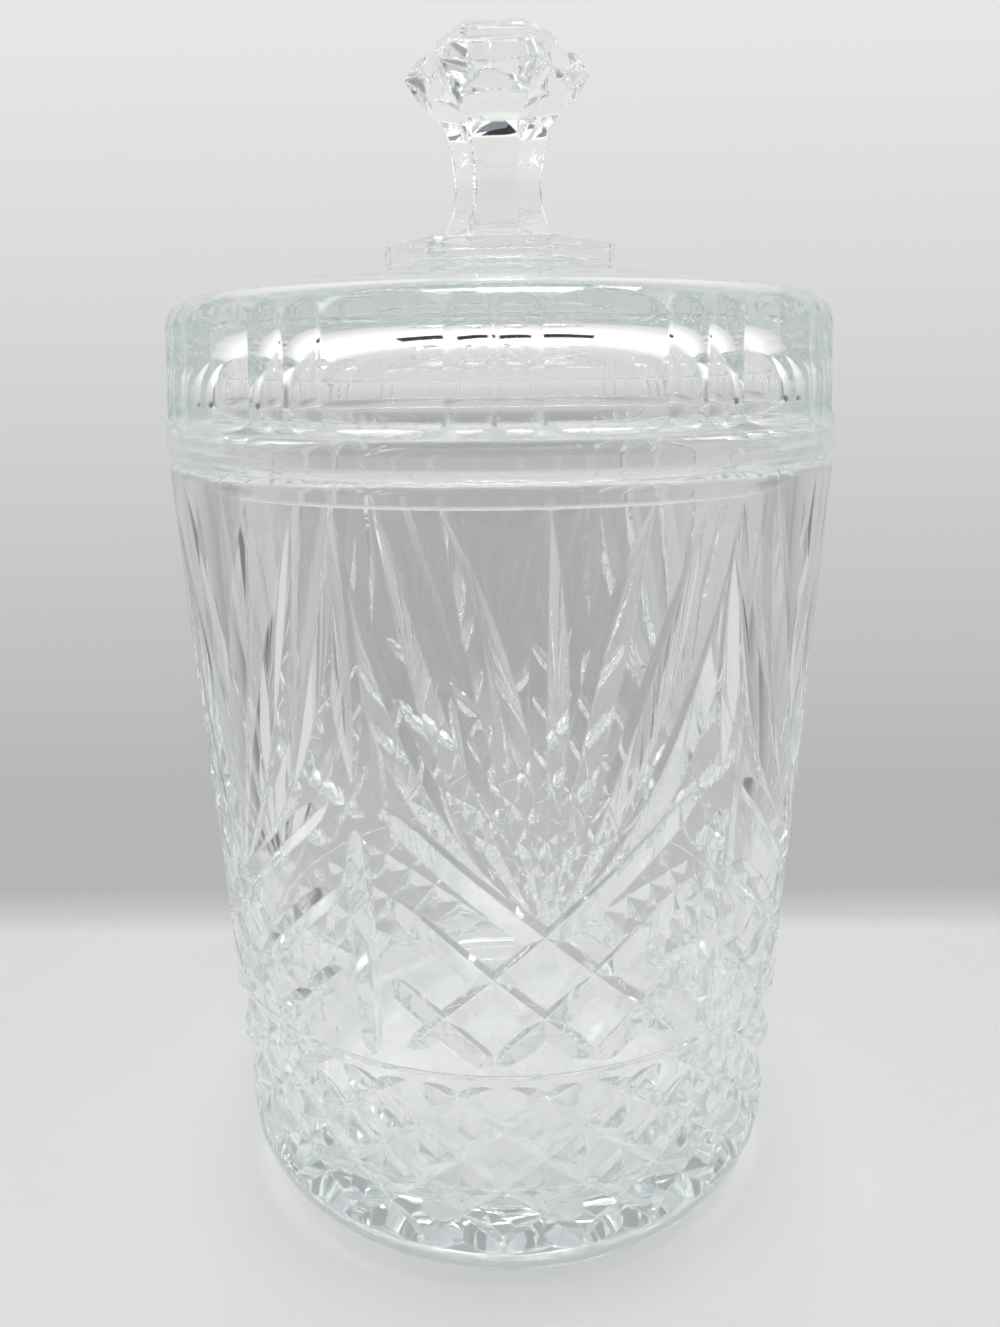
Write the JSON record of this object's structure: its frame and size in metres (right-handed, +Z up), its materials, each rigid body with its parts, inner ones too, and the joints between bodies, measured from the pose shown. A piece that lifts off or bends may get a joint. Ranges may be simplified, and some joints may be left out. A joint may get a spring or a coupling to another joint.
{
  "type": "biscuit jar",
  "caption": "Tapered cut-crystal jar with fan and diamond cuts, a deep fluted lift-off cap lid and a faceted finial knob.",
  "frame": {"origin": "centre of the foot, on the surface the jar stands on", "axes": "+Z up along the jar's axis; the middle of one cut fan faces -Y"},
  "size_m": [0.1422, 0.1422, 0.2521],
  "materials": {
    "crystal": "colourless lead crystal, pressed and mitre cut, fire polished"
  },
  "bodies": {
    "jar": {"jar_body": "crystal"},
    "lid": {"lid": "crystal", "lid_finial": "crystal"}
  },
  "joints": [
    {"name": "lid_lift", "type": "slide", "parent": "jar", "child": "lid", "axis": [0, 0, 1], "range_m": [0, 0.06]}
  ]
}
